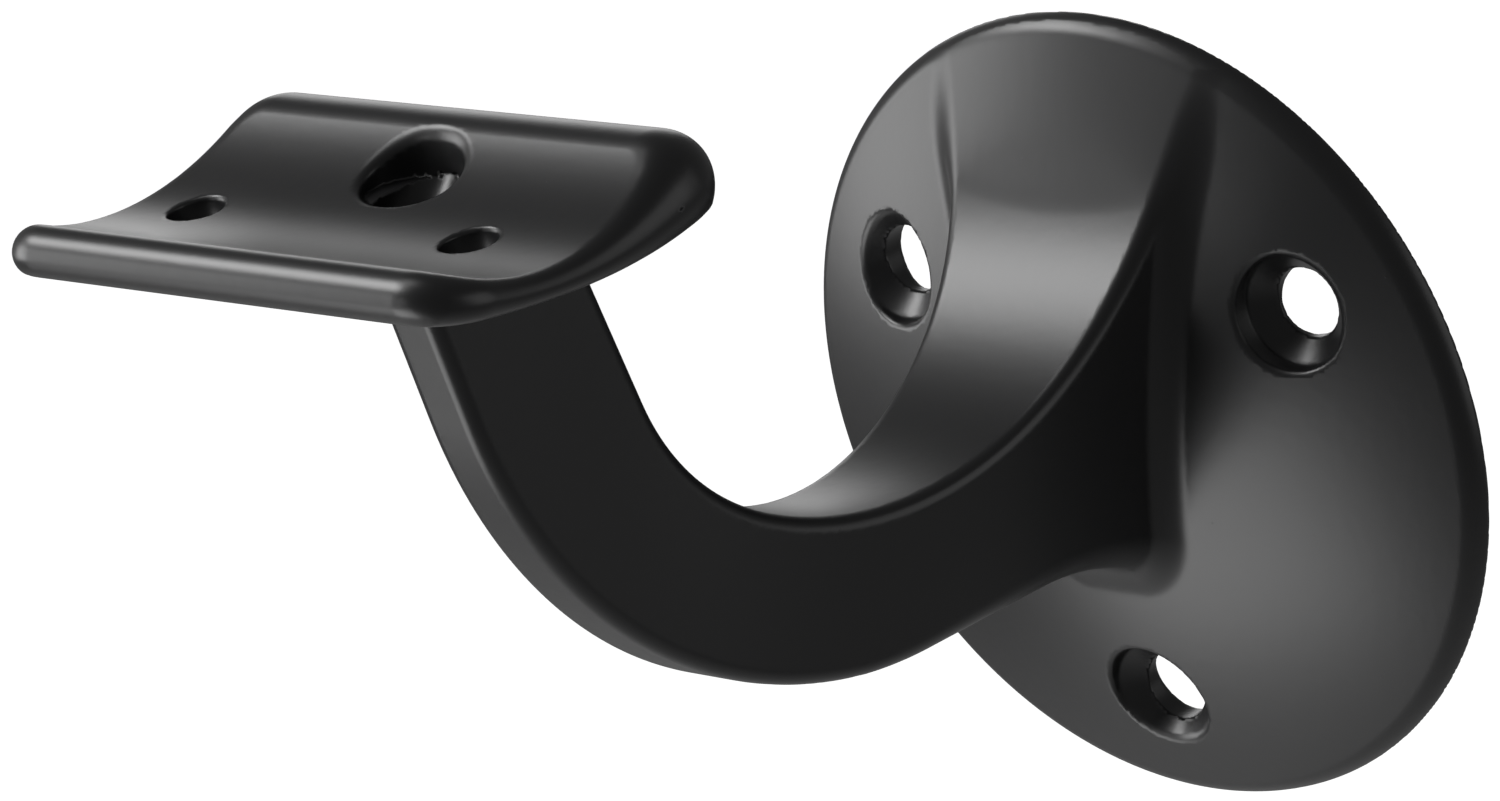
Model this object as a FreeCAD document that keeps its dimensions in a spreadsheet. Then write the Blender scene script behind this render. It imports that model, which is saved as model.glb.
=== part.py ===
"""Cast handrail bracket: a domed wall plate, a flared J-shaped arm and a hollowed rail saddle.

Millimetres, +Z up. The back of the wall plate lies in the plane Y = 0 with its centre at the
origin, the arm reaches out along -Y, and the rail runs along X.
"""
import FreeCAD, Part
import Sketcher
import math
import os
from FreeCAD import Vector

SIZES = [
    # wall plate
    ("plate_radius", 35.0, "outer radius of the wall plate"),
    ("dome_height", 8.4, "middle of the dome in front of the wall"),
    ("rim_height", 1.72, "dome in front of the wall, at the plate's edge before rounding"),
    ("shoulder_radius", 2.3, "rounding between the dome and the rim"),
    ("recess_radius", 28.0, "hollow back, where it meets the seating ring"),
    ("recess_floor_radius", 19.0, "hollow back, flat floor"),
    ("recess_depth", 2.6, "hollow back, depth"),
    # three countersunk screw holes
    ("screw_circle_radius", 24.6, "radius of the circle of screw holes"),
    ("screw_hole_radius", 3.0, "clearance hole"),
    ("sink_radius", 4.8, "straight mouth of the countersink"),
    ("sink_bottom_height", 2.5, "end of the cone, above the wall"),
    ("sink_cone_height", 1.8, "height of the 90 degree cone"),
    # side view of the arm
    ("low_reach", 33.6, "upper edge, lowest point, from the wall"),
    ("low_height", 6.5, "upper edge, lowest point, above the plate centre"),
    ("sweep_end_height", 27.0, "upper edge, where the sweep reaches the dome"),
    ("sweep_end_stand", 0.15, "upper edge, there, in front of the dome's skin"),
    ("bend_radius", 21.0, "upper edge, bend up to the neck"),
    ("bend_turn", 29.5, "degrees past the lowest point where the bend takes over"),
    ("arm_depth", 12.9, "upper edge to lower edge at the lowest point"),
    ("outer_bend_radius", 44.0, "lower edge, bend"),
    ("outer_bend_reach", 33.0, "centre of the lower bend, from the wall"),
    ("neck_back_tilt", 14.0, "degrees that the back of the neck leans away from the wall"),
    ("neck_front_tilt", 11.0, "degrees that its front leans away from the wall"),
    ("neck_back_height", 43.0, "back of the neck, where it turns into the back lip"),
    ("root_top_height", 29.0, "upper edge, buried end in the plate"),
    ("root_depth", 2.75, "buried end of the arm, above the wall"),
    ("underside_slope", 5.7, "degrees that the underside falls towards the wall"),
    ("under_sweep_reach", 21.2, "lower edge, where the sweep down to the plate starts"),
    ("under_sweep_radius", 32.0, "lower edge, sweep down to the plate"),
    # width of the arm
    ("neck_width", 5.4, "width at the neck"),
    ("top_taper", 0.27, "upper edge, widening for each millimetre towards the wall"),
    ("top_taper_reach", 60.0, "upper edge, start of the widening"),
    ("flare_width", 13.4, "upper edge, extra width of the flare at the wall"),
    ("flare_decay", 5.0, "length over which the flare dies away"),
    ("bottom_taper", 0.105, "lower edge, widening for each millimetre towards the wall"),
    ("bottom_taper_reach", 75.0, "lower edge, start of the widening"),
    # saddle
    ("saddle_length", 48.4, "length along the rail"),
    ("saddle_corner_radius", 5.0, "plan corners"),
    ("rail_radius", 20.5, "hollow that takes the rail"),
    ("rail_reach", 82.7, "axis of the rail, from the wall"),
    ("rail_height", 66.95, "axis of the rail, above the plate centre"),
    ("front_lip_angle", 29.6, "degrees from the lowest line of the hollow to the front lip"),
    ("back_lip_angle", 34.2, "degrees from the lowest line of the hollow to the back lip"),
    ("front_lip_thickness", 4.0, "front lip, fully rounded"),
    ("middle_thickness", 2.9, "saddle halfway across"),
    ("back_lip_thickness", 7.6, "back lip, fully rounded"),
    ("end_edge_length", 3.0, "length over which the ends are rounded"),
    # holes in the saddle
    ("rail_screw_radius", 2.1, "two small rail screw holes"),
    ("rail_screw_spacing", 29.1, "distance between them, along the rail"),
    ("rail_screw_offset", -2.0, "middle of the pair, along the rail"),
    ("rail_screw_reach", 81.6, "the pair, from the wall"),
    ("slant_mouth_radius", 3.45, "slanted hole, upright mouth"),
    ("slant_mouth_reach", 74.6, "slanted hole, mouth from the wall"),
    ("slant_ledge_height", 47.6, "slanted hole, ledge inside the mouth"),
    ("slant_hole_radius", 2.9, "slanted hole"),
    ("slant_angle", 42.0, "degrees that the slanted hole leans from upright"),
    ("slant_hole_offset", 1.2, "slanted hole, its axis in front of the mouth's at the ledge"),
    ("slant_hole_depth", 4.1, "slanted hole, from the ledge to its flat end"),
]

# places along the arm, as parts of its reach, where its flanks' sections stand
FLANK_STATIONS = (0, 0.04, 0.12, 0.22, 0.35, 0.5, 0.63, 0.76, 0.89, 1)
SMALL = 0.01
CLEARANCE = 5.0
SMALLEST_CUT = 0.5

document = FreeCAD.newDocument("HandrailBracket")
sheet = document.addObject("Spreadsheet::Sheet", "Sizes")
for row, (name, value, meaning) in enumerate(SIZES, start=1):
    sheet.set("A%d" % row, name)
    sheet.set("B%d" % row, str(value))
    sheet.setAlias("B%d" % row, name)
    sheet.set("C%d" % row, meaning)
document.recompute()


def size(name):
    """The value of one cell of the sheet."""
    return float(getattr(sheet, name))


def origin_plane(body, role):
    """One of a body's own origin planes."""
    return [f for f in body.Origin.OriginFeatures if f.Role == role][0]


def new_sketch(body, role, name):
    sketch = body.newObject("Sketcher::SketchObject", name)
    sketch.AttachmentSupport = [(origin_plane(body, role), "")]
    sketch.MapMode = "FlatFace"
    return sketch


def add_line(sketch, start, end):
    return sketch.addGeometry(Part.LineSegment(Vector(*start, 0), Vector(*end, 0)), False)


def add_arc(sketch, centre, radius, start_angle, end_angle):
    circle = Part.Circle(Vector(*centre, 0), Vector(0, 0, 1), radius)
    return sketch.addGeometry(Part.ArcOfCircle(circle, start_angle, end_angle), False)


def constrain(sketch, *arguments, name=None, expression=None):
    """Add one constraint, and bind its value to the sheet if an expression is given."""
    index = sketch.addConstraint(Sketcher.Constraint(*arguments))
    if name:
        sketch.renameConstraint(index, name)
        sketch.setExpression("Constraints." + name, expression)
    return index


START, END, CENTRE = range(1, 4)   # ends and centre of a sketch element
ORIGIN = (-1, 1)                  # the sketch's own origin
X_AXIS, Y_AXIS = range(-1, -3, -1)


def dome_radius():
    """Radius of the domed front, from its height in the middle and at the plate's edge."""
    rise = size("dome_height") - size("rim_height")
    return (size("plate_radius") ** 2 + rise ** 2) / (2 * rise)


def dome_skin(height):
    """Distance of the dome's skin from the wall, at a height above the plate centre."""
    return size("dome_height") - dome_radius() + math.sqrt(dome_radius() ** 2 - height ** 2)


def wall_plate():
    """Domed disc, turned about Y from its half section; its back is hollow inside a seating ring."""
    body = document.addObject("PartDesign::Body", "WallPlate")
    sketch = new_sketch(body, "XY_Plane", "PlateSection")
    radius, dome, height = size("plate_radius"), dome_radius(), size("dome_height")
    ring, floor, depth = size("recess_radius"), size("recess_floor_radius"), size("recess_depth")
    edge = size("shoulder_radius")
    dome_centre = dome - height
    edge_centre = dome_centre - math.sqrt((dome - edge) ** 2 - (radius - edge) ** 2)
    floor_line = add_line(sketch, (0, -depth), (floor, -depth))
    flank_line = add_line(sketch, (floor, -depth), (ring, 0))
    ring_line = add_line(sketch, (ring, 0), (radius, 0))
    rim_line = add_line(sketch, (radius, 0), (radius, edge_centre))
    lean = math.asin((radius - edge) / (dome - edge))
    front_arc = add_arc(sketch, (0, dome_centre), dome, -math.pi / 2, -math.pi / 2 + lean)
    edge_arc = add_arc(sketch, (radius - edge, edge_centre), edge, -math.pi / 2 + lean, 0)
    core_line = add_line(sketch, (0, -height), (0, -depth))
    for first, second in ((floor_line, flank_line), (flank_line, ring_line), (ring_line, rim_line)):
        constrain(sketch, "Coincident", first, END, second, START)
    constrain(sketch, "Tangent", rim_line, END, edge_arc, END)
    constrain(sketch, "Tangent", edge_arc, START, front_arc, END)
    constrain(sketch, "Coincident", front_arc, START, core_line, START)
    constrain(sketch, "Coincident", core_line, END, floor_line, START)
    constrain(sketch, "Horizontal", floor_line)
    constrain(sketch, "Vertical", rim_line)
    constrain(sketch, "PointOnObject", ring_line, START, X_AXIS)
    constrain(sketch, "PointOnObject", ring_line, END, X_AXIS)
    for line, end in ((core_line, START), (core_line, END), (front_arc, CENTRE)):
        constrain(sketch, "PointOnObject", line, end, Y_AXIS)
    constrain(sketch, "DistanceX", *ORIGIN, ring_line, END, radius,
              name="plate", expression="Sizes.plate_radius")
    constrain(sketch, "DistanceX", *ORIGIN, ring_line, START, ring,
              name="ring", expression="Sizes.recess_radius")
    constrain(sketch, "DistanceX", *ORIGIN, floor_line, END, floor,
              name="floor", expression="Sizes.recess_floor_radius")
    constrain(sketch, "DistanceY", floor_line, START, *ORIGIN, depth,
              name="depth", expression="Sizes.recess_depth")
    constrain(sketch, "DistanceY", core_line, START, *ORIGIN, height,
              name="height", expression="Sizes.dome_height")
    rise = "(Sizes.dome_height - Sizes.rim_height)"
    constrain(sketch, "Radius", front_arc, dome, name="dome",
              expression="(Sizes.plate_radius ^ 2 + %s ^ 2) / (2 * %s)" % (rise, rise))
    constrain(sketch, "Radius", edge_arc, edge, name="edge", expression="Sizes.shoulder_radius")
    turning = body.newObject("PartDesign::Revolution", "PlateTurning")
    turning.Profile = (sketch, [""])
    turning.ReferenceAxis = (sketch, ["V_Axis"])
    turning.Angle = 360
    return body


def saddle_point(angle, depth):
    """A point of the saddle's section, at an angle round the rail and a depth below its hollow."""
    radius = size("rail_radius") + depth
    return Vector(0, -size("rail_reach") + radius * math.sin(angle),
                  size("rail_height") - radius * math.cos(angle))


def saddle_half_thickness(part):
    """Half the saddle's thickness at a part of the way from the front lip to the back lip."""
    front, middle, back = (size(name) / 2 for name in (
        "front_lip_thickness", "middle_thickness", "back_lip_thickness"))
    return (front * (1 - part) * (1 - 2 * part) + middle * 4 * part * (1 - part)
            + back * part * (2 * part - 1))


def saddle_section(along, inset, fullness):
    """Section of the saddle across the rail: two round lips joined by the hollow and the underside.

    inset draws both lips in, for the plan corners, and fullness thins the section, for round ends.
    """
    start = -math.radians(size("front_lip_angle"))
    end = math.radians(size("back_lip_angle"))
    reach = size("rail_radius") + size("middle_thickness") / 2
    inset_angle = inset / reach
    angles = (start + inset_angle, (start + end) / 2, end - inset_angle)
    tops, middles, bottoms = [], [], []
    for angle in angles:
        half = saddle_half_thickness((angle - start) / (end - start))
        tops.append(saddle_point(angle, half - half * fullness))
        middles.append(half)
        bottoms.append(saddle_point(angle, half + half * fullness))
    tips = []
    for side, angle, half in ((-1, angles[0], middles[0]), (1, angles[2], middles[2])):
        outward = Vector(0, math.cos(angle), math.sin(angle)) * side
        tips.append(saddle_point(angle, half) + outward * (half * fullness))
    edges = [Part.Arc(tops[0], tops[1], tops[2]),
             Part.Arc(tops[2], tips[1], bottoms[2]),
             Part.Arc(bottoms[2], bottoms[1], bottoms[0]),
             Part.Arc(bottoms[0], tips[0], tops[0])]
    wire = Part.Wire([edge.toShape() for edge in edges])
    wire.translate(Vector(along, 0, 0))
    return wire


def rail_saddle():
    """Hollowed pad for the rail: a prism across the middle, and an end at each side with
    round plan corners and a round edge."""
    half, corner, edge = size("saddle_length") / 2, size("saddle_corner_radius"), size("end_edge_length")
    from_end = [step * edge for step in (0.015, 0.12, 0.4, 1.0)] + [corner]
    sections = []
    for distance in from_end:
        inset = corner - math.sqrt(corner ** 2 - (corner - distance) ** 2)
        thin = max(0.0, 1 - distance / edge)
        sections.append(saddle_section(half - distance, inset, math.sqrt(1 - thin ** 2)))
    cap = Part.makeLoft(sections, True, False)
    prism = Part.Face(saddle_section(-(half - corner), 0, 1)).extrude(
        Vector(2 * (half - corner), 0, 0))
    piece = document.addObject("Part::Feature", "Saddle")
    piece.Shape = prism.fuse([cap, cap.mirror(Vector(0, 0, 0), Vector(1, 0, 0))]).removeSplitter()
    return piece


def turned(angle, radius):
    """Vector of this length in the YZ plane, at an angle from straight down, away from the wall."""
    return Vector(0, -math.sin(angle), -math.cos(angle)) * radius


def arc_between(centre, radius, start, end):
    return Part.Arc(centre + turned(start, radius), centre + turned((start + end) / 2, radius),
                    centre + turned(end, radius))


def arm_outline():
    """Side view of the arm: its upper edge, its buried end in the plate and its lower edge."""
    # upper edge: neck, bend, sweep up to the plate
    upright = math.pi / 2 - math.radians(size("neck_back_tilt"))
    turn = math.radians(size("bend_turn"))
    run = size("low_reach") - dome_skin(size("sweep_end_height")) - size("sweep_end_stand")
    rise = size("sweep_end_height") - size("low_height")
    sweep, bend = (run ** 2 + rise ** 2) / (2 * rise), size("bend_radius")
    sweep_centre = Vector(0, -size("low_reach"), size("low_height") + sweep)
    bend_centre = sweep_centre + turned(turn, sweep - bend)
    last = -math.acos((sweep - rise) / sweep)
    bend_start = bend_centre + turned(upright, bend)
    rise = size("neck_back_height") - bend_start.z
    neck_back = bend_start + Vector(0, -rise / math.tan(upright), rise)
    lip = saddle_point(math.radians(size("back_lip_angle")), size("back_lip_thickness") / 2)
    root_top = Vector(0, -size("root_depth"), size("root_top_height"))

    # lower edge: neck, one wide bend, straight underside, sweep down to the plate
    front_upright = math.pi / 2 - math.radians(size("neck_front_tilt"))
    fall = math.radians(size("underside_slope"))
    outer = size("outer_bend_radius")
    outer_centre = Vector(0, -size("outer_bend_reach"), size("low_height") - size("arm_depth") + outer)
    front_foot = outer_centre + turned(front_upright, outer)
    inside = size("rail_height") - size("rail_radius") - size("middle_thickness") / 2
    rise = inside - front_foot.z
    neck_front = front_foot + Vector(0, -rise / math.tan(front_upright), rise)
    straight_start = outer_centre + turned(-fall, outer)
    straight = -size("under_sweep_reach") - straight_start.y
    straight_end = straight_start + Vector(0, straight, -straight * math.tan(fall))
    under = size("under_sweep_radius")
    under_centre = straight_end - Vector(0, math.sin(fall), math.cos(fall)) * under
    over = math.asin((-size("root_depth") - under_centre.y) / under)
    half_way = under_centre + Vector(0, math.sin((fall + over) / 2), math.cos((fall + over) / 2)) * under
    root_bottom = under_centre + Vector(0, math.sin(over), math.cos(over)) * under

    curves = [Part.LineSegment(lip, neck_back),
              Part.LineSegment(neck_back, bend_start),
              arc_between(bend_centre, bend, upright, turn),
              arc_between(sweep_centre, sweep, turn, last),
              Part.LineSegment(sweep_centre + turned(last, sweep), root_top),
              Part.LineSegment(root_top, root_bottom),
              Part.Arc(root_bottom, half_way, straight_end),
              Part.LineSegment(straight_end, straight_start),
              arc_between(outer_centre, outer, -fall, front_upright),
              Part.LineSegment(front_foot, neck_front),
              Part.LineSegment(neck_front, lip)]
    return Part.Wire([curve.toShape() for curve in curves])


def arm_width(reach, taper, taper_reach, flare):
    """Width of one edge of the arm: straight taper, with a flare that grows close to the wall."""
    straight = size("neck_width") + taper * max(0.0, taper_reach - reach)
    return straight + flare * math.exp(-reach / size("flare_decay"))


def edge_heights(outline, reach):
    """Heights of the arm's lower and upper edge at a distance from the wall."""
    box = outline.BoundBox
    cut = Part.makeLine(Vector(0, -reach, box.ZMin - CLEARANCE), Vector(0, -reach, box.ZMax + CLEARANCE))
    heights = [vertex.Z for vertex in cut.common(Part.Face(outline)).Vertexes]
    return min(heights), max(heights)


def arm():
    """Arm: its side view as a prism across X, trimmed by flanks that widen towards the plate."""
    outline = arm_outline()
    box = outline.BoundBox
    half = size("plate_radius")
    prism = document.addObject("Part::Feature", "ArmPrism")
    prism.Shape = Part.Face(outline).translated(Vector(-half, 0, 0)).extrude(Vector(2 * half, 0, 0))
    lowest, highest = box.ZMin - CLEARANCE, box.ZMax + CLEARANCE
    sections = []
    for station in FLANK_STATIONS:
        inner, outer = size("root_depth"), -box.YMin
        reach = inner + (outer - inner) * station
        bottom, top = edge_heights(outline, min(max(reach, inner + SMALL), outer - SMALL))
        top_half = arm_width(reach, size("top_taper"), size("top_taper_reach"), size("flare_width")) / 2
        bottom_half = arm_width(reach, size("bottom_taper"), size("bottom_taper_reach"), 0) / 2
        lean = (top_half - bottom_half) / (top - bottom)
        high = top_half + lean * (highest - top)
        low = bottom_half + lean * (lowest - bottom)
        corners = [Vector(high, -reach, highest), Vector(-high, -reach, highest),
                   Vector(-low, -reach, lowest), Vector(low, -reach, lowest)]
        sections.append(Part.makePolygon(corners + corners[:1]))
    flanks = document.addObject("Part::Feature", "ArmFlanks")
    flanks.Shape = Part.makeLoft(sections, True, False)
    trimmed = document.addObject("Part::MultiCommon", "Arm")
    trimmed.Shapes = [prism, flanks]
    return trimmed


def cylinder(label, radius, height, foot, turn=None):
    """Round tool with its radius bound to the sheet, standing on foot along +Z or turned from it."""
    tool = document.addObject("Part::Cylinder", label)
    tool.setExpression("Radius", "Sizes." + radius)
    tool.Height = height
    tool.Placement = FreeCAD.Placement(foot, turn or FreeCAD.Rotation())
    return tool


def screw_hole_tools():
    """Three countersunk holes through the wall plate: throat, cone and straight mouth."""
    forward = FreeCAD.Rotation(Vector(1, 0, 0), 90)
    clear = size("dome_height") + CLEARANCE
    tools = []
    for number, degrees in enumerate((30, 150, 270), start=1):
        angle = math.radians(degrees)
        ring = size("screw_circle_radius")
        centre = Vector(ring * math.cos(angle), 0, ring * math.sin(angle))
        cone_foot = size("sink_bottom_height")
        mouth_foot = cone_foot + size("sink_cone_height")
        tools.append(cylinder("Throat%d" % number, "screw_hole_radius", clear + CLEARANCE,
                              centre + Vector(0, CLEARANCE, 0), forward))
        cone = document.addObject("Part::Cone", "Sink%d" % number)
        cone.setExpression("Radius1", "Sizes.screw_hole_radius")
        cone.setExpression("Radius2", "Sizes.sink_radius")
        cone.setExpression("Height", "Sizes.sink_cone_height")
        cone.Placement = FreeCAD.Placement(centre - Vector(0, cone_foot, 0), forward)
        tools.append(cone)
        tools.append(cylinder("Mouth%d" % number, "sink_radius", clear - mouth_foot,
                              centre - Vector(0, mouth_foot, 0), forward))
    return tools


def saddle_hole_tools():
    """Two upright rail screw holes and the slanted blind hole between them."""
    tools = []
    low = size("rail_height") - size("rail_radius") - size("middle_thickness") - CLEARANCE
    high = size("rail_height") - size("rail_radius") + CLEARANCE
    for number, side in enumerate((-1, 1), start=1):
        along = size("rail_screw_offset") + side * size("rail_screw_spacing") / 2
        foot = Vector(along, -size("rail_screw_reach"), low)
        tools.append(cylinder("RailScrew%d" % number, "rail_screw_radius", high - low, foot))
    ledge = Vector(0, -size("slant_mouth_reach"), size("slant_ledge_height"))
    tools.append(cylinder("SlantMouth", "slant_mouth_radius", CLEARANCE, ledge))
    lean = math.radians(size("slant_angle"))
    axis = Vector(0, math.sin(lean), math.cos(lean))
    depth = size("slant_hole_depth")
    centre = ledge - Vector(0, size("slant_hole_offset"), 0)
    slanted = cylinder("SlantCylinder", "slant_hole_radius", 2 * depth, centre - axis * depth,
                       FreeCAD.Rotation(Vector(0, 0, 1), axis))
    below = document.addObject("Part::Box", "BelowLedge")
    below.Length, below.Width, below.Height = [4 * depth] * 3
    below.Placement.Base = ledge - Vector(2 * depth, 2 * depth, 4 * depth)
    hole = document.addObject("Part::MultiCommon", "SlantHole")
    hole.Shapes = [slanted, below]
    tools.append(hole)
    return tools


def fuse_all(label, things):
    fusion = document.addObject("Part::MultiFuse", label)
    fusion.Shapes = things
    fusion.Refine = True
    return fusion


def check(thing):
    """Stop the build if an object is in error or its shape isn't whole."""
    if "Invalid" in thing.State or "Error" in thing.State:
        raise RuntimeError(thing.Label + " is in error")
    if thing.Shape.isNull() or not thing.Shape.isValid():
        raise RuntimeError(thing.Label + " isn't a whole shape")


casting = fuse_all("Casting", [wall_plate(), rail_saddle(), arm()])
bracket = casting
for tools in (screw_hole_tools(), saddle_hole_tools()):
    document.recompute()
    for tool in tools:
        if tool.Shape.common(casting.Shape).Volume < SMALLEST_CUT:
            raise RuntimeError(tool.Label + " cuts nothing")
    cut = document.addObject("Part::Cut", "Drilled")
    cut.Base = bracket
    cut.Tool = fuse_all("Holes", tools)
    bracket = cut
bracket.Label = "handrail_bracket"
document.recompute()
for thing in document.Objects:
    if thing.isDerivedFrom("Part::Feature") and not thing.isDerivedFrom("Part::Part2DObject"):
        check(thing)
if len(bracket.Shape.Solids) != 1:
    raise RuntimeError("the casting is in pieces")

os.makedirs("parts", exist_ok=True)
bracket.Shape.exportStep("parts/handrail_bracket.step")
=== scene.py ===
"""Handrail bracket: the powder-coated casting and its studio stage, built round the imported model."""
import math

import bpy
import numpy as np
from bpy.props import FloatProperty, FloatVectorProperty, IntProperty, PointerProperty, StringProperty
from mathutils import Matrix, Vector


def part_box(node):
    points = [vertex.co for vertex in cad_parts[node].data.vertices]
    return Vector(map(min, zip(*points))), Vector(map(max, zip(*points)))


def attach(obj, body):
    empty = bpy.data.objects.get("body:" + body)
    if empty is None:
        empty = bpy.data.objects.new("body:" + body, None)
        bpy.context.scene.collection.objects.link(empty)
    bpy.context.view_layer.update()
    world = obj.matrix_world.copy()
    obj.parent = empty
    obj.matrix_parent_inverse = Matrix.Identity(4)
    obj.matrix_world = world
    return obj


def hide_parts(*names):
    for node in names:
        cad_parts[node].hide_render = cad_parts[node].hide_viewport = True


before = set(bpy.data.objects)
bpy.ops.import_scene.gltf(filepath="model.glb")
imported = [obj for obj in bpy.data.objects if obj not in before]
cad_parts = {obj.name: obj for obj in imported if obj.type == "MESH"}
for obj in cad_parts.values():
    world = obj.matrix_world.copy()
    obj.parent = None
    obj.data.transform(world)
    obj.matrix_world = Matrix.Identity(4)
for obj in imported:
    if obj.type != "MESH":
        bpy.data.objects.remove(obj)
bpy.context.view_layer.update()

bl_info = {
    "name": "Handrail Bracket",
    "version": (1, 0, 0),
    "blender": (4, 5, 0),
    "location": "View3D > Sidebar > Bracket",
    "description": "Builds a cast handrail bracket with a satin black powder coat, and its studio",
    "category": "Add Mesh",
}

MM = 0.001


def millimetres(label, text, value):
    """Length property whose default is given in millimetres."""
    return FloatProperty(name=label, description=text, default=value * MM, unit="LENGTH", subtype="DISTANCE",
                         precision=5)


def degrees(label, text, value):
    """Angle property whose default is given in degrees."""
    return FloatProperty(name=label, description=text, default=math.radians(value), subtype="ANGLE")


def own_properties(group):
    """Names of the properties that a group of sizes adds itself."""
    return [name for name in group.bl_rna.properties.keys() if name not in ("rna_type", "name")]


# ---------------------------------------------------------------- sizes and colours

class BracketPlateSizes(bpy.types.PropertyGroup):
    """Sizes of the domed wall plate."""
    radius: millimetres("Radius", "Outer radius of the plate", 35.0)
    dome_height: millimetres("Dome height", "Middle of the dome in front of the wall", 8.4)
    rim_height: millimetres("Rim height", "Dome at the edge of the plate, before rounding", 1.72)
    shoulder: millimetres("Shoulder", "Radius of the rounding between the dome and the rim", 1.5)
    back_edge: millimetres("Back edge", "Rounding of the edge that meets the wall", 0.5)
    recess_radius: millimetres("Recess radius", "Hollow back, at the seating ring", 28.0)
    recess_floor: millimetres("Recess floor", "Hollow back, flat floor", 19.0)
    recess_depth: millimetres("Recess depth", "Depth of the hollow back", 2.6)
    screw_circle: millimetres("Screw circle", "Radius of the circle of screw holes", 24.6)
    screw_hole: millimetres("Screw hole", "Radius of the clearance holes", 3.0)
    sink: millimetres("Countersink", "Radius of the countersinks' straight mouths", 4.85)
    sink_bottom: millimetres("Cone bottom", "Narrow end of the cones, above the wall", 2.5)
    sink_edge: millimetres("Mouth rounding", "Rounded edge of the countersinks", 0.45)


class BracketArmSizes(bpy.types.PropertyGroup):
    """Sizes of the flared arm."""
    low_reach: millimetres("Low point reach", "Lowest point of the upper edge, from the wall", 33.6)
    low_height: millimetres("Low point height", "Lowest point of the upper edge", 6.75)
    sweep_end: millimetres("Sweep end", "Height at which the sweep reaches the dome", 26.0)
    sweep_stand: millimetres("Sweep stand", "Upper edge in front of the dome's skin there", 0.35)
    bend: millimetres("Inner bend", "Radius of the bend up to the neck", 21.0)
    bend_turn: degrees("Bend turn", "Where the inner bend takes over from the sweep", 29.5)
    neck_back_tilt: degrees("Back tilt", "Lean of the neck's back", 14.0)
    neck_front_tilt: degrees("Front tilt", "Lean of the neck's front", 11.0)
    depth: millimetres("Depth", "Upper edge to lower edge at the lowest point", 13.6)
    outer_bend: millimetres("Outer bend", "Radius of the lower edge's bend", 44.0)
    outer_reach: millimetres("Outer bend reach", "Centre of that bend, from the wall", 33.0)
    under_slope: degrees("Underside slope", "Fall of the underside towards the wall", 2.5)
    under_reach: millimetres("Under sweep reach", "Start of the sweep down to the plate", 21.2)
    under_sweep: millimetres("Under sweep", "Radius of the sweep down to the plate", 28.0)
    neck_width: millimetres("Neck width", "Width of the neck", 5.3)
    top_taper: FloatProperty(name="Upper taper", description="Widening per length of the upper edge",
                             default=0.27)
    top_taper_reach: millimetres("Upper taper start", "Where the upper edge starts to widen", 60.0)
    flare: millimetres("Flare", "Extra width of the upper edge at the wall", 13.4)
    flare_decay: millimetres("Flare decay", "Length over which the flare dies away", 5.0)
    bottom_taper: FloatProperty(name="Lower taper", description="Widening per length of the lower edge",
                                default=0.105)
    bottom_taper_reach: millimetres("Lower taper start", "Where the lower edge starts to widen", 75.0)
    neck_top: millimetres("Neck top", "Height at which the neck ends inside the saddle", 45.2)
    taper_ease: millimetres("Taper ease", "Length over which the tapers start softly", 6.0)
    edge: millimetres("Edge rounding", "Rounded long edges", 1.25)
    root_edge: millimetres("Root edge rounding", "Rounded lower edges near the plate", 3.2)
    root_blend: millimetres("Root blend", "Fillet between the arm and the plate", 2.0)
    neck_blend: millimetres("Neck blend", "Fillet between the neck and the saddle", 1.2)


class BracketSaddleSizes(bpy.types.PropertyGroup):
    """Sizes of the hollowed rail saddle."""
    length: millimetres("Length", "Length along the rail", 48.4)
    corner: millimetres("Plan corner", "Radius of the plan corners", 5.0)
    rail_radius: millimetres("Rail radius", "Radius of the hollow", 20.5)
    rail_reach: millimetres("Rail reach", "Axis of the rail, from the wall", 82.7)
    rail_height: millimetres("Rail height", "Axis of the rail, above the plate centre", 66.95)
    front_angle: degrees("Front lip angle", "From the lowest line of the hollow to the front lip", 29.9)
    back_angle: degrees("Back lip angle", "From the lowest line of the hollow to the back lip", 34.7)
    front_lip: millimetres("Front lip", "Thickness of the front lip", 3.94)
    back_lip: millimetres("Back lip", "Thickness of the back lip", 7.62)
    sag: millimetres("Thinning", "How much less than their mean the middle's half thickness is", 1.6)
    screw: millimetres("Rail screw hole", "Radius of the small upright holes", 2.2)
    screw_spacing: millimetres("Rail screw spacing", "Distance between the small holes", 29.1)
    screw_offset: millimetres("Rail screw offset", "Middle of the pair, along the rail", -2.0)
    screw_reach: millimetres("Rail screw reach", "Small holes, from the wall", 81.6)
    mouth: millimetres("Slanted mouth", "Half the slanted hole's oval mouth, across the rail", 3.45)
    mouth_wide: millimetres("Mouth width", "Half the oval mouth, along the rail", 4.5)
    mouth_edge: millimetres("Mouth rounding", "Rounded edge of the oval mouth", 0.7)
    mouth_reach: millimetres("Slanted mouth reach", "Slanted hole's mouth, from the wall", 74.5)
    ledge: millimetres("Ledge", "Height of the ledge inside the mouth", 46.5)
    slant_hole: millimetres("Slanted hole", "Radius of the slanted hole", 2.6)
    slant_angle: degrees("Slant", "Lean of the slanted hole from upright", 42.0)
    slant_depth: millimetres("Slant depth", "Depth of the slanted hole below the ledge", 4.1)


class BracketFinish(bpy.types.PropertyGroup):
    """Mesh fineness and the colour of the coat."""
    fineness: millimetres("Fineness", "Spacing of the points that the skin is first cut at", 0.37)
    faces: IntProperty(name="Triangles", description="Most triangles in the finished skin", default=190000)
    black: StringProperty(name="Coat colour", description="Colour of the powder coat, sRGB hex",
                          default="#161617")


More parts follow.
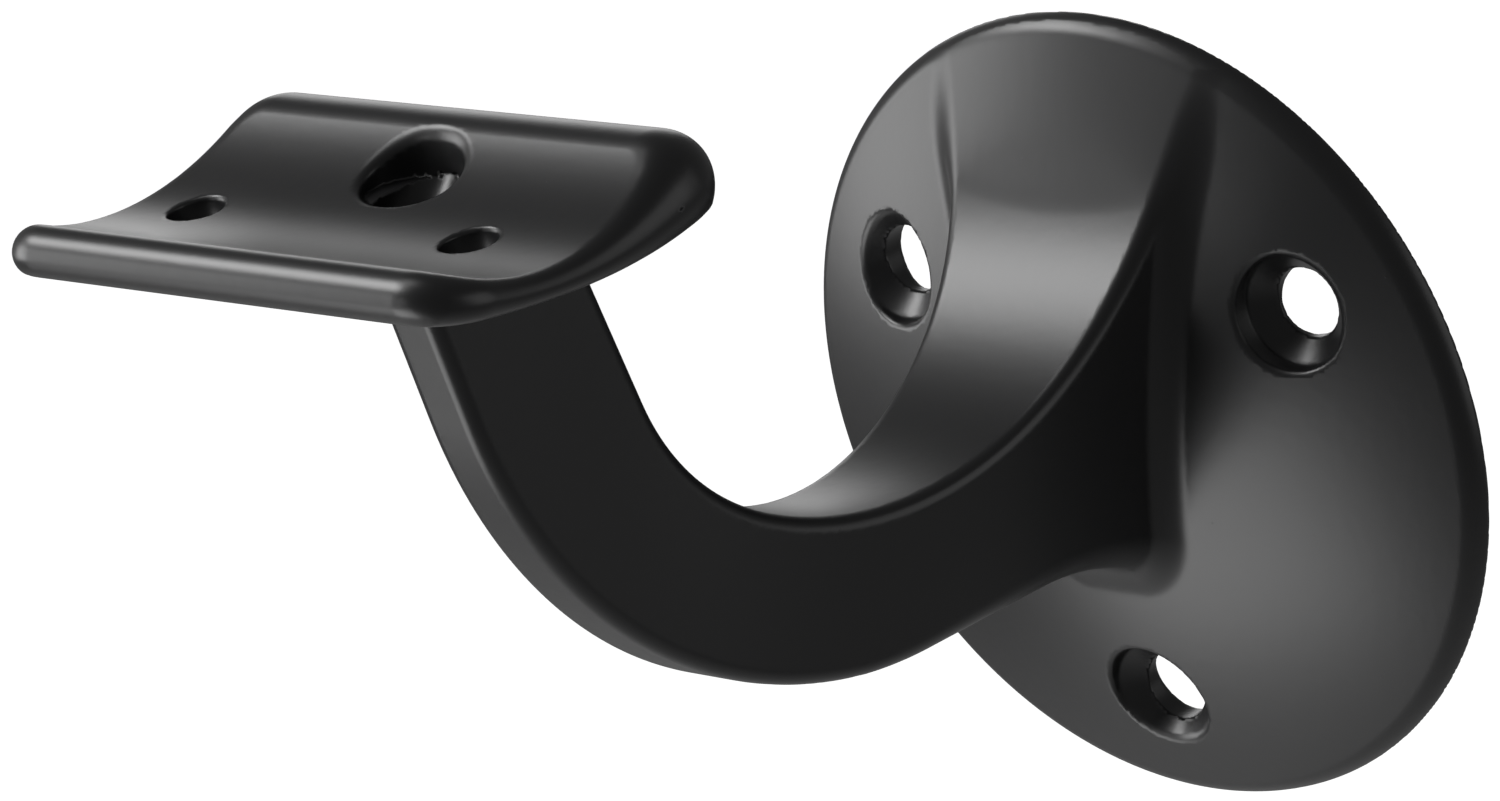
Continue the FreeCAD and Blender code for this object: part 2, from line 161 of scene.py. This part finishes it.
class BracketStage(bpy.types.PropertyGroup):
    """Camera and studio."""
    camera: FloatVectorProperty(name="Camera", description="Place of the camera", subtype="TRANSLATION",
                                unit="LENGTH", default=(0.32841, -0.36253, 0.17953))
    azimuth: degrees("Azimuth", "Direction of view round the object", 45.99)
    elevation: degrees("Elevation", "Height of the view above the horizon", 19.43)
    roll: degrees("Roll", "Turn of the camera about its own axis", -11.25)
    lens: FloatProperty(name="Lens", description="Focal length in millimetres", default=149.19)
    lamp_distance: millimetres("Lamp distance", "From the bracket to each soft box", 1500.0)
    floor_drop: millimetres("Floor drop", "Floor below the bracket, at a handrail's usual height", 1100.0)


# ---------------------------------------------------------------- the casting as a distance field

# Lengths are in millimetres. Reach is measured out from the wall, and height from the plate's centre.
SCREW_ANGLES = (30, 150, 270)  # degrees round the plate, from +X towards up
SINK_EDGE = 0.2  # rounding between a countersink's cone and its straight mouth
RECESS_EDGE = 0.6  # rounding of the hollow back's edges
RAIL_SCREW_EDGE = 0.3  # rounding of the small upright holes
SLANT_OVERLAP = 0.3  # top of the slanted hole above the ledge
SLANT_FILLET = 0.01  # fillet between the slanted hole and the ledge
PLATE_REACH = 20  # the wall screws' holes cut nothing further out
SADDLE_HEIGHT = 40  # the saddle's holes cut nothing lower down

NECK_TOP_EDGE = 2.0  # rounding of the neck's end, inside the saddle
LEAST_DEPTH = 1  # depth of the arm that its width is shared over, at the least
SHARE_PAST = 0.3  # how far the change of width runs on past each edge
EDGE_FADE_REACH = 8  # where the lower edges' rounding starts to shrink
EDGE_FADE_RUN = 34  # length over which it shrinks to the other edges' rounding
HOLLOW_COVER = 0.6  # least metal between the saddle's hollow and the arm's end
WALL_GAP = 1.2  # arm's end in front of the wall
FLANK_LEAN = 0.19  # slope of the flanks at the wall, from the lower edge to the upper one
LEAN_DECAY = 25  # length over which that slope dies away
TRIM_INSET = 2.0  # the cone that thins the arm's root, inside the plate's rim
TRIM_REACH = 2.4  # where the cone has that radius
TRIM_TURN = 8  # where it stops narrowing and opens again
TRIM_EDGE = 3.0  # rounding between the cone and the arm

SLOPE_STEP = 0.02  # half the distance between the two points that a slope is taken from
LEAST_SLOPE = 0.5  # flatter slopes count as this one when a point is moved
LONGEST_MOVE = 0.3  # of a point, in one round, for each unit of slope
COARSE_RATIO = 4  # fine spacings to one spacing of the coarse lattice
NEAR_SKIN = 1.6  # coarse spacings from the skin within which the fine lattice is worked out
BATCH = 400000  # points worked out at a time


def rounded_and(first, second, radius):
    """Where two solids overlap, with a rounded edge."""
    corner = np.hypot(np.maximum(first + radius, 0), np.maximum(second + radius, 0))
    return np.minimum(-radius, np.maximum(first, second)) + corner


def rounded_or(first, second, radius):
    """Two solids joined by a fillet."""
    corner = np.hypot(np.maximum(radius - first, 0), np.maximum(radius - second, 0))
    return np.maximum(radius, np.minimum(first, second)) - corner


def eased(value, ease):
    """The value where it is positive, and nought where not, with a soft start."""
    return (value + np.hypot(value, ease)) / 2


class Casting:
    """Signed distance, in millimetres, to the skin of the whole casting."""

    def __init__(self, plate, arm, saddle):
        def read(group):
            """Values by name, with the lengths in millimetres."""
            values = {}
            for name in own_properties(group):
                scale = 1 / MM if group.bl_rna.properties[name].unit == "LENGTH" else 1
                values[name] = getattr(group, name) * scale
            return values

        self.plate, self.arm, self.saddle = read(plate), read(arm), read(saddle)
        self.lay_out_arm()

    def lay_out_arm(self):
        """Centres and radii of the arcs that make the arm's side view."""
        plate, arm = self.plate, self.arm
        rise = plate["dome_height"] - plate["rim_height"]
        self.dome = (plate["radius"] ** 2 + rise ** 2) / (2 * rise)
        skin = plate["dome_height"] - self.dome + math.sqrt(self.dome ** 2 - arm["sweep_end"] ** 2)
        run = arm["low_reach"] - skin - arm["sweep_stand"]
        climb = arm["sweep_end"] - arm["low_height"]
        self.sweep = (run ** 2 + climb ** 2) / (2 * climb)
        self.sweep_centre = np.array((-arm["low_reach"], arm["low_height"] + self.sweep))
        self.sweep_last = -math.acos((self.sweep - climb) / self.sweep)
        turn = arm["bend_turn"]
        self.bend_centre = self.sweep_centre + self.turned(turn, self.sweep - arm["bend"])
        lowest = arm["low_height"] - arm["depth"]
        self.outer_centre = np.array((-arm["outer_reach"], lowest + arm["outer_bend"]))
        fall = arm["under_slope"]
        foot = self.outer_centre + self.turned(fall, arm["outer_bend"])
        self.under_start = foot + (-arm["under_reach"] - foot[0]) * np.array((1, -math.tan(fall)))
        self.under_centre = self.under_start - arm["under_sweep"] * np.array((math.sin(fall), math.cos(fall)))

    @staticmethod
    def turned(angle, radius):
        """Vector in the side view, at an angle from straight down, away from the wall."""
        return np.array((-math.sin(angle), -math.cos(angle))) * radius

    @staticmethod
    def angle_about(centre, y, z):
        """Angle from straight down, away from the wall, of a point seen from a centre."""
        return np.arctan2(centre[0] - y, centre[1] - z)

    def arm_sides(self, y, z):
        """Distances outside the arm's upper edge and outside its lower edge, in the side view."""
        arm = self.arm

        def beyond(centre, radius, angle):
            """Distance past the tangent line that leaves a circle at an angle."""
            out = self.turned(angle, 1)
            return out[0] * (y - centre[0]) + out[1] * (z - centre[1]) - radius

        upright = math.pi / 2 - arm["neck_back_tilt"]
        about_bend = self.angle_about(self.bend_centre, y, z)
        about_sweep = self.angle_about(self.sweep_centre, y, z)
        upper = self.sweep - np.hypot(y - self.sweep_centre[0], z - self.sweep_centre[1])
        leaving = -beyond(self.sweep_centre, self.sweep, self.sweep_last)
        upper = np.where(about_sweep < self.sweep_last, leaving, upper)
        bend = arm["bend"] - np.hypot(y - self.bend_centre[0], z - self.bend_centre[1])
        neck = -beyond(self.bend_centre, arm["bend"], upright)
        bend = np.where((about_bend > upright) | (about_bend < -math.pi / 2), neck, bend)
        upper = np.where(about_sweep > arm["bend_turn"], bend, upper)

        front = math.pi / 2 - arm["neck_front_tilt"]
        about_outer = self.angle_about(self.outer_centre, y, z)
        lower = np.hypot(y - self.outer_centre[0], z - self.outer_centre[1]) - arm["outer_bend"]
        neck = beyond(self.outer_centre, arm["outer_bend"], front)
        lower = np.where((about_outer > front) | (about_outer < -math.pi / 2), neck, lower)
        fall = arm["under_slope"]
        straight = beyond(self.outer_centre, arm["outer_bend"], fall)
        under = arm["under_sweep"] - np.hypot(y - self.under_centre[0], z - self.under_centre[1])
        along = (y - self.under_start[0]) * math.cos(fall) - (z - self.under_start[1]) * math.sin(fall)
        straight = np.where(along > 0, under, straight)
        lower = np.where(about_outer < fall, straight, lower)
        return upper, lower

    def arm_field(self, x, y, z):
        """Distance to the flared arm, between its side view and its flanks."""
        arm, saddle = self.arm, self.saddle
        upper, lower = self.arm_sides(y, z)
        # the neck's top stays inside the saddle
        upper = rounded_and(upper, z - arm["neck_top"], NECK_TOP_EDGE)
        reach = -y
        near = np.clip(reach, 0, arm["outer_reach"] + arm["outer_bend"])
        top_run = eased(arm["top_taper_reach"] - near, arm["taper_ease"])
        top = arm["neck_width"] + arm["top_taper"] * top_run
        top = (top + arm["flare"] * np.exp(-near / arm["flare_decay"])) / 2
        bottom_run = eased(arm["bottom_taper_reach"] - near, arm["taper_ease"])
        bottom = (arm["neck_width"] + arm["bottom_taper"] * bottom_run) / 2
        # the width changes evenly from the lower edge to the upper edge
        depth = np.minimum(lower + upper, -LEAST_DEPTH)
        share = np.clip(lower / depth, -SHARE_PAST, 1 + SHARE_PAST)
        width = bottom + (top - bottom) * share
        slope = self.flank_slope(near)
        flank = (np.abs(x) - width) / np.sqrt(1 + slope ** 2)
        fade = np.clip(1 - (reach - EDGE_FADE_REACH) / EDGE_FADE_RUN, 0, 1)
        low_edge = arm["edge"] + (arm["root_edge"] - arm["edge"]) * fade
        body = np.maximum(rounded_and(upper, flank, arm["edge"]), rounded_and(lower, flank, low_edge))
        # the upper end stops below the saddle's hollow, and the root in front of the wall
        rail = np.hypot(reach - saddle["rail_reach"], saddle["rail_height"] - z)
        body = np.maximum(body, saddle["rail_radius"] + HOLLOW_COVER - rail)
        body = np.maximum(body, -reach + WALL_GAP)
        # a cone thins the root before the plate's shoulder, and opens again to clear the arm further out
        rho = np.hypot(x, z)
        trim = rho - (self.plate["radius"] - TRIM_INSET) + reach - TRIM_REACH
        trim = (trim - 2 * np.maximum(0, reach - TRIM_TURN)) * math.sqrt(0.5)
        return rounded_and(body, trim, TRIM_EDGE)

    def flank_slope(self, near):
        """How steeply the flanks lean or widen, for a true distance."""
        arm = self.arm
        lean = FLANK_LEAN * np.exp(-near / LEAN_DECAY)
        flaring = arm["flare"] / arm["flare_decay"] * np.exp(-near / arm["flare_decay"])
        widen = (arm["top_taper"] + flaring) / 2
        return np.hypot(lean, np.where(near < arm["top_taper_reach"], widen, 0))

    def plate_field(self, x, y, z):
        """Distance to the domed plate, not yet cut off at the wall."""
        plate = self.plate
        rho, height = np.hypot(x, z), -y
        dome = np.hypot(rho, height - plate["dome_height"] + self.dome) - self.dome
        return rounded_and(dome, rho - plate["radius"], plate["shoulder"])

    def recess_field(self, x, y, z):
        """Distance to the hollow in the plate's back, a shallow cone with a flat floor."""
        plate = self.plate
        run = (plate["recess_radius"] - plate["recess_floor"]) / plate["recess_depth"]
        cone = (np.hypot(x, z) - plate["recess_radius"] - y * run) / math.hypot(1, run)
        return np.maximum(cone, -y - plate["recess_depth"])

    def saddle_field(self, x, y, z):
        """Distance to the curved sheet under the rail: full round edges, thick lips, a thin middle."""
        saddle = self.saddle
        across = y + saddle["rail_reach"]
        down = saddle["rail_height"] - z
        around = np.arctan2(across, down)
        out = np.hypot(across, down) - saddle["rail_radius"]
        front, back = saddle["front_lip"] / 2, saddle["back_lip"] / 2
        span = saddle["front_angle"] + saddle["back_angle"]
        share = np.clip((around + saddle["front_angle"]) / span, 0, 1)
        half = front + (back - front) * share - saddle["sag"] * 4 * share * (1 - share)
        middle = saddle["rail_radius"] + (front + back) / 2
        # distances past the centres of the plan corners, along the rail and round it
        side = np.abs(x) - (saddle["length"] / 2 - saddle["corner"])
        centre = (saddle["back_angle"] - saddle["front_angle"]) / 2
        half_turn = span / 2 * middle + half - saddle["corner"]
        turn = np.abs(around - centre) * middle - half_turn
        plan = np.hypot(np.maximum(side, 0), np.maximum(turn, 0)) + np.minimum(np.maximum(side, turn), 0)
        # the outline is drawn in by half the thickness, which the round edges then give back
        plan = np.maximum(plan - (saddle["corner"] - half), 0)
        return np.hypot(plan, out - half) - half

    def drilled(self, body, x, y, z):
        """The body with its screw holes, its countersinks and the slanted hole taken out."""
        plate, saddle = self.plate, self.saddle
        height = -y
        for angle in SCREW_ANGLES:
            turn = math.radians(angle)
            across = x - plate["screw_circle"] * math.cos(turn)
            up = z - plate["screw_circle"] * math.sin(turn)
            bore = np.hypot(across, up)
            throat = bore - plate["screw_hole"]
            cone = (throat - (height - plate["sink_bottom"])) * math.sqrt(0.5)
            mouth = np.maximum(bore - plate["sink"], plate["sink_bottom"] - height)
            sink = rounded_and(cone, mouth, SINK_EDGE)
            cut = rounded_and(body, -np.minimum(throat, sink), plate["sink_edge"])
            body = np.where(height < PLATE_REACH, cut, body)
        for side in (-1, 1):
            along = saddle["screw_offset"] + side * saddle["screw_spacing"] / 2
            bore = np.hypot(x - along, y + saddle["screw_reach"]) - saddle["screw"]
            body = np.where(z > SADDLE_HEIGHT, rounded_and(body, -bore, RAIL_SCREW_EDGE), body)
        # an oval mouth down to a ledge, and the slanted hole below it
        narrowed = x * saddle["mouth"] / saddle["mouth_wide"]
        mouth = np.hypot(narrowed, y + saddle["mouth_reach"]) - saddle["mouth"]
        pocket = np.maximum(mouth, saddle["ledge"] - z)
        lean = saddle["slant_angle"]
        forward = y + saddle["mouth_reach"]
        rise = z - saddle["ledge"]
        along = forward * math.sin(lean) + rise * math.cos(lean)
        off = np.hypot(x, forward * math.cos(lean) - rise * math.sin(lean)) - saddle["slant_hole"]
        hole = np.maximum(np.maximum(off, -along - saddle["slant_depth"]), rise - SLANT_OVERLAP)
        pocket = rounded_or(pocket, hole, SLANT_FILLET)
        return np.where(z > SADDLE_HEIGHT, rounded_and(body, -pocket, saddle["mouth_edge"]), body)

    def field(self, points):
        """Distance at points: the three forms joined, cut off at the wall, hollowed and drilled."""
        plate = self.plate
        x, y, z = points[:, 0], points[:, 1], points[:, 2]
        body = rounded_or(self.plate_field(x, y, z), self.arm_field(x, y, z), self.arm["root_blend"])
        body = rounded_or(body, self.saddle_field(x, y, z), self.arm["neck_blend"])
        body = rounded_and(body, y, plate["back_edge"])
        body = rounded_and(body, -self.recess_field(x, y, z), RECESS_EDGE)
        return self.drilled(body, x, y, z)

    def slope(self, points):
        """Gradient of the field at points."""
        columns = []
        for axis in range(3):
            shift = np.zeros(3)
            shift[axis] = SLOPE_STEP
            change = self.field(points + shift) - self.field(points - shift)
            columns.append(change / (2 * SLOPE_STEP))
        return np.stack(columns, axis=1)

    def settle(self, points, rounds=3):
        """Points moved onto the skin along the gradient."""
        for _ in range(rounds):
            slope = self.slope(points)
            push = self.field(points) / np.maximum(np.sum(slope ** 2, axis=1), LEAST_SLOPE ** 2)
            points = points - np.clip(push, -LONGEST_MOVE, LONGEST_MOVE)[:, None] * slope
        return points

    def normals(self, points):
        """Unit vectors straight out of the skin at points."""
        slope = self.slope(points)
        return slope / np.maximum(np.linalg.norm(slope, axis=1), 1e-9)[:, None]


def sampled_field(casting, low, counts, step):
    """The field on a lattice: coarse everywhere, fine only near the skin."""
    coarse_step = step * COARSE_RATIO
    coarse_counts = [count // COARSE_RATIO + 2 for count in counts]
    axes = [low[i] + np.arange(coarse_counts[i]) * coarse_step for i in range(3)]
    grid = np.stack(np.meshgrid(*axes, indexing="ij"), axis=-1).reshape(-1, 3)
    coarse = casting.field(grid).reshape(coarse_counts)
    nearest = [(np.arange(count) + COARSE_RATIO // 2) // COARSE_RATIO for count in counts]
    guess = coarse[np.ix_(*nearest)]
    fine = guess.astype(np.float32)
    close = np.argwhere(np.abs(guess) < coarse_step * NEAR_SKIN)
    for start in range(0, len(close), BATCH):
        part = close[start:start + BATCH]
        fine[tuple(part.T)] = casting.field(np.asarray(low) + part * step)
    return fine


def skin(casting, low, high, step):
    """Points and quads of the field's zero surface, one point to a lattice cell that it crosses."""
    counts = [int(math.ceil((high[i] - low[i]) / step)) + 1 for i in range(3)]
    values = sampled_field(casting, low, counts, step)
    inside = values < 0
    cells = tuple(count - 1 for count in counts)
    mixed = np.zeros(cells, dtype=np.int8)
    corners = [(i, j, k) for i in (0, 1) for j in (0, 1) for k in (0, 1)]

    def window(array, corner):
        """Values of the array at one corner of every cell."""
        return array[tuple(slice(c, c + n) for c, n in zip(corner, cells))]

    for corner in corners:
        mixed += window(inside, corner)
    active = np.argwhere((mixed > 0) & (mixed < 8))
    number = np.full(cells, -1, dtype=np.int32)
    number[tuple(active.T)] = np.arange(len(active))
    at_corner = {corner: values[tuple((active + corner).T)] for corner in corners}
    total, hits = np.zeros((len(active), 3)), np.zeros(len(active))
    for axis in range(3):
        for corner in corners:
            if corner[axis]:
                continue
            far = tuple(c + (i == axis) for i, c in enumerate(corner))
            first, second = at_corner[corner], at_corner[far]
            crossing = (first < 0) != (second < 0)
            part = np.where(crossing, first / np.where(crossing, first - second, 1), 0)
            place = np.tile(np.array(corner, dtype=float), (len(active), 1))
            place[:, axis] += part
            total += place * crossing[:, None]
            hits += crossing
    points = np.asarray(low) + (active + total / hits[:, None]) * step
    quads = []
    for axis in range(3):
        first = tuple(slice(0, -1) if i == axis else slice(1, -1) for i in range(3))
        second = tuple(slice(1, None) if i == axis else slice(1, -1) for i in range(3))
        start = np.argwhere(inside[first] != inside[second])
        start += [0 if i == axis else 1 for i in range(3)]
        one, two = [i for i in range(3) if i != axis]
        ring = []
        for shift in ((0, 0), (1, 0), (1, 1), (0, 1)):
            cell = start.copy()
            cell[:, one] -= shift[0]
            cell[:, two] -= shift[1]
            ring.append(number[tuple(cell.T)])
        quad = np.stack(ring, axis=1)
        leaving = inside[tuple(start.T)]
        flip = leaving if axis == 1 else ~leaving
        quad[flip] = quad[flip][:, ::-1]
        quads.append(quad)
    return points, np.concatenate(quads)


# ---------------------------------------------------------------- materials

def linear(colour):
    """Linear RGBA of an sRGB hex colour."""
    channels = [int(colour.lstrip("#")[i:i + 2], 16) / 255 for i in (0, 2, 4)]
    return [c / 12.92 if c <= 0.04045 else ((c + 0.055) / 1.055) ** 2.4 for c in channels] + [1.0]


def add_node(tree, kind, values=None, links=None, **settings):
    """Add one node with its settings, socket values and incoming links."""
    node = tree.nodes.new(kind)
    for name, value in settings.items():
        setattr(node, name, value)
    for name, value in (values or {}).items():
        node.inputs[name].default_value = value
    for name, socket in (links or {}).items():
        tree.links.new(socket, node.inputs[name])
    return node


def new_material(name):
    """An empty node material and its tree."""
    material = bpy.data.materials.new(name)
    material.use_nodes = True
    material.node_tree.nodes.clear()
    return material, material.node_tree


def powder_coat(colour):
    """Satin black polyester powder coat, sprayed and baked on a zinc casting.

    The eye sees a soft, wide sheen, a very faint orange peel and a few raised specks of grit.
    """
    material, tree = new_material("satin_black_powder_coat")
    place = add_node(tree, "ShaderNodeTexCoord").outputs["Object"]
    peel_size, grain_size, speck_spacing = 1.1 * MM, 0.16 * MM, 3.2 * MM
    peel = add_node(tree, "ShaderNodeTexNoise", {"Scale": 1 / peel_size, "Detail": 2.0, "Roughness": 0.5},
                    {"Vector": place})
    grain = add_node(tree, "ShaderNodeTexNoise", {"Scale": 1 / grain_size, "Detail": 1.0, "Roughness": 0.5},
                     {"Vector": place})
    cells = add_node(tree, "ShaderNodeTexVoronoi", {"Scale": 1 / speck_spacing, "Randomness": 1.0},
                     {"Vector": place})
    speck = add_node(tree, "ShaderNodeMapRange",
                     {"From Min": 0.0, "From Max": 0.035, "To Min": 1.0, "To Max": 0.0},
                     {"Value": cells.outputs["Distance"]}, interpolation_type="SMOOTHSTEP")
    peel_bump = add_node(tree, "ShaderNodeBump", {"Strength": 0.09, "Distance": 0.1 * MM},
                         {"Height": peel.outputs["Fac"]})
    grain_bump = add_node(tree, "ShaderNodeBump", {"Strength": 0.02, "Distance": 0.03 * MM},
                          {"Height": grain.outputs["Fac"], "Normal": peel_bump.outputs["Normal"]})
    speck_bump = add_node(tree, "ShaderNodeBump", {"Strength": 0.25, "Distance": 0.06 * MM},
                          {"Height": speck.outputs["Result"], "Normal": grain_bump.outputs["Normal"]})
    shader = add_node(tree, "ShaderNodeBsdfPrincipled",
                      {"Base Color": linear(colour), "Roughness": 0.34, "IOR": 1.5, "Metallic": 0.0},
                      {"Normal": speck_bump.outputs["Normal"]})
    add_node(tree, "ShaderNodeOutputMaterial", links={"Surface": shader.outputs["BSDF"]})
    return material


def studio_floor():
    """Matt pale floor that shows as plain white, and still takes the object's shadow."""
    material, tree = new_material("matt_white_floor")
    paint = add_node(tree, "ShaderNodeBsdfPrincipled", {"Base Color": linear("#D4D4D4"), "Roughness": 0.9})
    path = add_node(tree, "ShaderNodeLightPath")
    lift = add_node(tree, "ShaderNodeMath", {1: 0.96}, {0: path.outputs["Is Camera Ray"]},
                    operation="MULTIPLY")
    glow = add_node(tree, "ShaderNodeEmission", {"Color": linear("#FFFFFF")},
                    {"Strength": lift.outputs["Value"]})
    both = add_node(tree, "ShaderNodeAddShader",
                    links={0: paint.outputs["BSDF"], 1: glow.outputs["Emission"]})
    add_node(tree, "ShaderNodeOutputMaterial", links={"Surface": both.outputs["Shader"]})
    return material


# ---------------------------------------------------------------- operators

def outward(azimuth, elevation):
    """Unit vector; azimuth 0 lies straight out from the wall, and +X is at 90 degrees."""
    level = math.cos(elevation)
    return Vector((math.sin(azimuth) * level, -math.cos(azimuth) * level, math.sin(elevation)))


class OBJECT_OT_bracket_casting(bpy.types.Operator):
    """Build the one-piece casting with its rounded edges and its powder coat"""
    bl_idname = "object.bracket_casting"
    bl_label = "Casting"

    def execute(self, context):
        scene = context.scene
        finish = scene.bracket_finish
        casting = Casting(scene.bracket_plate, scene.bracket_arm, scene.bracket_saddle)
        low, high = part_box("handrail_bracket")
        margin = 1.5  # millimetres of empty lattice round the casting
        low = [value / MM - margin for value in low]
        high = [value / MM + margin for value in high]
        points, quads = skin(casting, low, high, finish.fineness / MM)
        points = casting.settle(points)
        mesh = bpy.data.meshes.new("casting_skin")
        mesh.from_pydata(points * MM, [], quads.tolist())
        rough = bpy.data.objects.new("casting_skin", mesh)
        scene.collection.objects.link(rough)
        thin = rough.modifiers.new("thin_out", "DECIMATE")
        thin.ratio = min(1.0, finish.faces / (2 * len(quads)))
        context.view_layer.update()
        final = bpy.data.meshes.new_from_object(rough.evaluated_get(context.evaluated_depsgraph_get()))
        bpy.data.objects.remove(rough)
        coordinates = np.empty(len(final.vertices) * 3)
        final.vertices.foreach_get("co", coordinates)
        points = casting.settle(coordinates.reshape(-1, 3) / MM, rounds=2)
        final.vertices.foreach_set("co", (points * MM).ravel())
        final.shade_smooth()
        final.normals_split_custom_set_from_vertices(casting.normals(points))
        final.materials.clear()
        final.materials.append(powder_coat(finish.black))
        piece = bpy.data.objects.new("bracket_casting", final)
        scene.collection.objects.link(piece)
        print("casting", len(final.vertices), "points", len(final.polygons), "faces")
        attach(piece, "root")
        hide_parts("handrail_bracket")
        return {"FINISHED"}


class OBJECT_OT_bracket_stage(bpy.types.Operator):
    """Set up the floor, the lamps and the camera"""
    bl_idname = "object.bracket_stage"
    bl_label = "Stage"

    def execute(self, context):
        scene = context.scene
        stage = scene.bracket_stage
        scene.view_settings.view_transform = "Standard"
        self.place_camera(scene, stage)
        self.light_world(scene)
        # every lamp faces this point, between the plate and the saddle
        aim = Vector((0.0, -0.045, 0.015))
        for name, azimuth, elevation, width, height, power in self.lamps():
            away = outward(math.radians(azimuth), math.radians(elevation))
            self.add_lamp(scene, name, aim + away * stage.lamp_distance, aim, (width, height), power)
        self.lay_floor(scene, stage)
        return {"FINISHED"}

    @staticmethod
    def lamps():
        """Name, azimuth and elevation in degrees, width and height in metres, power in watts."""
        return (
            ("side_softbox", -64, 5, 0.85, 0.9, 11.0),
            ("low_softbox", -31, -28, 0.95, 0.72, 8.6),
            ("upper_softbox", -65, 42, 0.72, 0.45, 12.5),
            ("top_softbox", -70, 64, 0.6, 0.4, 2.0),
            ("front_strip", -26, 10, 0.25, 0.8, 1.4),
            ("far_side_softbox", 112, 8, 1.0, 1.2, 3.2),
            ("wall_side_strip", -137, 10, 0.6, 0.6, 2.0),
        )

    @staticmethod
    def place_camera(scene, stage):
        """Camera that looks in from the stage's direction, turned by its roll."""
        camera = bpy.data.objects.new("camera", bpy.data.cameras.new("camera"))
        camera.data.lens = stage.lens
        camera.data.sensor_width = 36.0
        camera.data.sensor_fit = "HORIZONTAL"
        camera.data.clip_start, camera.data.clip_end = 0.01, 20.0
        roll = stage.roll
        back = outward(stage.azimuth, stage.elevation)
        level = Vector((math.cos(stage.azimuth), math.sin(stage.azimuth), 0))
        upward = back.cross(level)
        right = level * math.cos(roll) + upward * math.sin(roll)
        up = upward * math.cos(roll) - level * math.sin(roll)
        turn = Matrix((right, up, back)).transposed()
        camera.matrix_world = Matrix.Translation(stage.camera) @ turn.to_4x4()
        scene.collection.objects.link(camera)
        scene.camera = camera

    @staticmethod
    def light_world(scene):
        """Even pale light all round, and plain white where the camera looks past the object."""
        world = bpy.data.worlds.new("studio")
        world.use_nodes = True
        tree = world.node_tree
        tree.nodes.clear()
        fill = add_node(tree, "ShaderNodeBackground", {"Color": linear("#FFFFFF"), "Strength": 0.15})
        white = add_node(tree, "ShaderNodeBackground", {"Color": linear("#FFFFFF"), "Strength": 1.0})
        path = add_node(tree, "ShaderNodeLightPath")
        mix = add_node(tree, "ShaderNodeMixShader", links={"Fac": path.outputs["Is Camera Ray"]})
        tree.links.new(fill.outputs["Background"], mix.inputs[1])
        tree.links.new(white.outputs["Background"], mix.inputs[2])
        add_node(tree, "ShaderNodeOutputWorld", links={"Surface": mix.outputs["Shader"]})
        scene.world = world

    @staticmethod
    def add_lamp(scene, name, place, target, size, power):
        """One oblong soft box that faces the target."""
        lamp = bpy.data.lights.new(name, "AREA")
        lamp.shape = "RECTANGLE"
        lamp.size, lamp.size_y = size
        lamp.energy = power
        holder = bpy.data.objects.new(name, lamp)
        holder.location = place
        holder.rotation_euler = (target - place).to_track_quat("-Z", "Y").to_euler()
        scene.collection.objects.link(holder)

    @staticmethod
    def lay_floor(scene, stage):
        """Level square floor, which counts as part of the stage."""
        half, height = 4.0, -stage.floor_drop  # half the floor's width in metres
        corners = [(-half, -half, height), (half, -half, height), (half, half, height), (-half, half, height)]
        mesh = bpy.data.meshes.new("floor")
        mesh.from_pydata(corners, [], [(0, 1, 2, 3)])
        mesh.materials.append(studio_floor())
        floor = bpy.data.objects.new("floor", mesh)
        scene.collection.objects.link(floor)


class VIEW3D_PT_bracket(bpy.types.Panel):
    """Sidebar panel that lists the operators and their sizes"""
    bl_idname = "VIEW3D_PT_bracket"
    bl_label = "Handrail Bracket"
    bl_space_type = "VIEW_3D"
    bl_region_type = "UI"
    bl_category = "Bracket"

    def draw(self, context):
        for operator in OPERATORS:
            self.layout.operator(operator.bl_idname)
        for name in GROUPS:
            box = self.layout.box()
            group = getattr(context.scene, name)
            for key in own_properties(group):
                box.prop(group, key)


GROUPS = {"bracket_plate": BracketPlateSizes, "bracket_arm": BracketArmSizes,
          "bracket_saddle": BracketSaddleSizes, "bracket_finish": BracketFinish,
          "bracket_stage": BracketStage}
OPERATORS = (OBJECT_OT_bracket_casting, OBJECT_OT_bracket_stage)


def register():
    for group in (*GROUPS.values(), *OPERATORS, VIEW3D_PT_bracket):
        bpy.utils.register_class(group)
    for name, group in GROUPS.items():
        setattr(bpy.types.Scene, name, PointerProperty(type=group))


def unregister():
    for name in GROUPS:
        delattr(bpy.types.Scene, name)
    for group in reversed((*GROUPS.values(), *OPERATORS, VIEW3D_PT_bracket)):
        bpy.utils.unregister_class(group)


def main():
    """Build the casting and its stage."""
    register()
    bpy.ops.object.bracket_casting()
    bpy.ops.object.bracket_stage()


if __name__ == "__main__":
    main()
